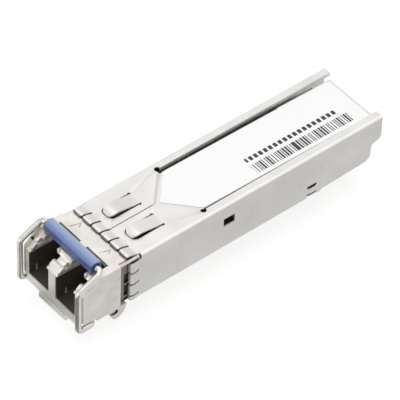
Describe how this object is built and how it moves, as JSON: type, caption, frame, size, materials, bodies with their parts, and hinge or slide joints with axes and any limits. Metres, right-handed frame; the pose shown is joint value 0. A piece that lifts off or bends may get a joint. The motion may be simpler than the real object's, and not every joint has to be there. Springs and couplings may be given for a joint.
{
  "type": "sfp transceiver",
  "caption": "Small pluggable optical transceiver with a duplex socket, sprung sheet cover and a blue-gripped wire bail that works the latch lever under its nose.",
  "frame": {"origin": "bottom centre of the whole module's box at rest, level with the tips of the two lugs", "axes": "+Y from the ports to the rear edge, +Z from the base up to the label, +X across"},
  "size_m": [0.0146, 0.0584, 0.0125],
  "materials": {
    "plated_casting": "nickel-plated zinc casting, satin with a fine grain",
    "cover_sheet": "plated sheet, soft satin",
    "liner_plastic": "black moulded, faint sheen",
    "turned_steel": "turned, satin",
    "sleeve_ceramic": "white zirconia, ground",
    "gold_plate": "gold plate over nickel",
    "flex_film": "amber polyimide film",
    "clamp_plastic": "black moulded",
    "board_laminate": "green solder mask",
    "chip_plastic": "black epoxy",
    "capacitor_ceramic": "tan ceramic with tinned ends",
    "inductor_ferrite": "dark grey ferrite",
    "label_paper": "white coated adhesive label, bare of text",
    "bail_steel": "drawn round wire, bright satin",
    "grip_plastic": "blue moulded sleeve, satin",
    "lever_steel": "plated, satin",
    "spring_steel": "spring strip"
  },
  "bodies": {
    "module": {"housing": "plated_casting", "cover": "cover_sheet", "port_liner_left": "liner_plastic", "port_liner_right": "liner_plastic", "transmit_barrel": "turned_steel", "receive_barrel": "turned_steel", "transmit_sleeve": "sleeve_ceramic", "receive_sleeve": "sleeve_ceramic", "transmit_fibre_stub": "sleeve_ceramic", "receive_fibre_stub": "sleeve_ceramic", "transmit_can": "turned_steel", "receive_can": "turned_steel", "transmit_header": "gold_plate", "receive_header": "gold_plate", "transmit_flex": "flex_film", "receive_flex": "flex_film", "barrel_clamp": "clamp_plastic", "circuit_board": "board_laminate", "edge_contacts_top": "gold_plate", "edge_contacts_underside": "gold_plate", "laser_driver_chip": "chip_plastic", "limiting_amplifier_chip": "chip_plastic", "controller_chip": "chip_plastic", "memory_chip": "chip_plastic", "ceramic_capacitors": "capacitor_ceramic", "chip_resistors": "chip_plastic", "filter_inductors": "inductor_ferrite", "label": "label_paper", "lever_pin": "lever_steel", "lever_spring": "spring_steel"},
    "bail": {"bail_wire": "bail_steel", "bail_grip": "grip_plastic"},
    "lever": {"latch_lever": "lever_steel"}
  },
  "joints": [
    {"name": "bail_swing", "type": "hinge", "parent": "module", "child": "bail", "pos_m": [0, -0.02582, 0.00175], "axis": [1, 0, 0], "range_deg": [0, 90]},
    {"name": "lever_rock", "type": "hinge", "parent": "module", "child": "lever", "pos_m": [0, -0.02201, 0.00145], "axis": [1, 0, 0], "range_deg": [0, 4.5], "deforming": ["lever_spring"]}
  ],
  "couplings": [
    {"joint": "lever_rock", "follows": "bail_swing", "ratio": 0.05}
  ]
}
